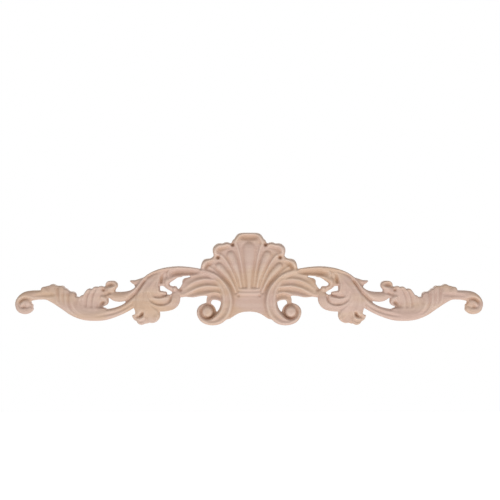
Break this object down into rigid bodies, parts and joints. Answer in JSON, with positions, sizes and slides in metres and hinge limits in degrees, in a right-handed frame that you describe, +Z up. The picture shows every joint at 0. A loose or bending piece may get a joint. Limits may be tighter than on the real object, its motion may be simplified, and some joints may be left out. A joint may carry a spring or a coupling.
{
  "type": "corner onlay",
  "caption": "Long pierced wood onlay carved with a shell between scrolls and leafy stems that end in curls, with a flat back.",
  "frame": {"origin": "middle of the flat back, halfway along the length and halfway up the height", "axes": "X along the length, Z up towards the top of the shell, the carved face towards -Y and the flat back towards +Y"},
  "size_m": [0.6002, 0.018, 0.1192],
  "materials": {
    "onlay": "raw, sanded"
  },
  "bodies": {
    "root": {"onlay": "onlay"}
  },
  "joints": []
}
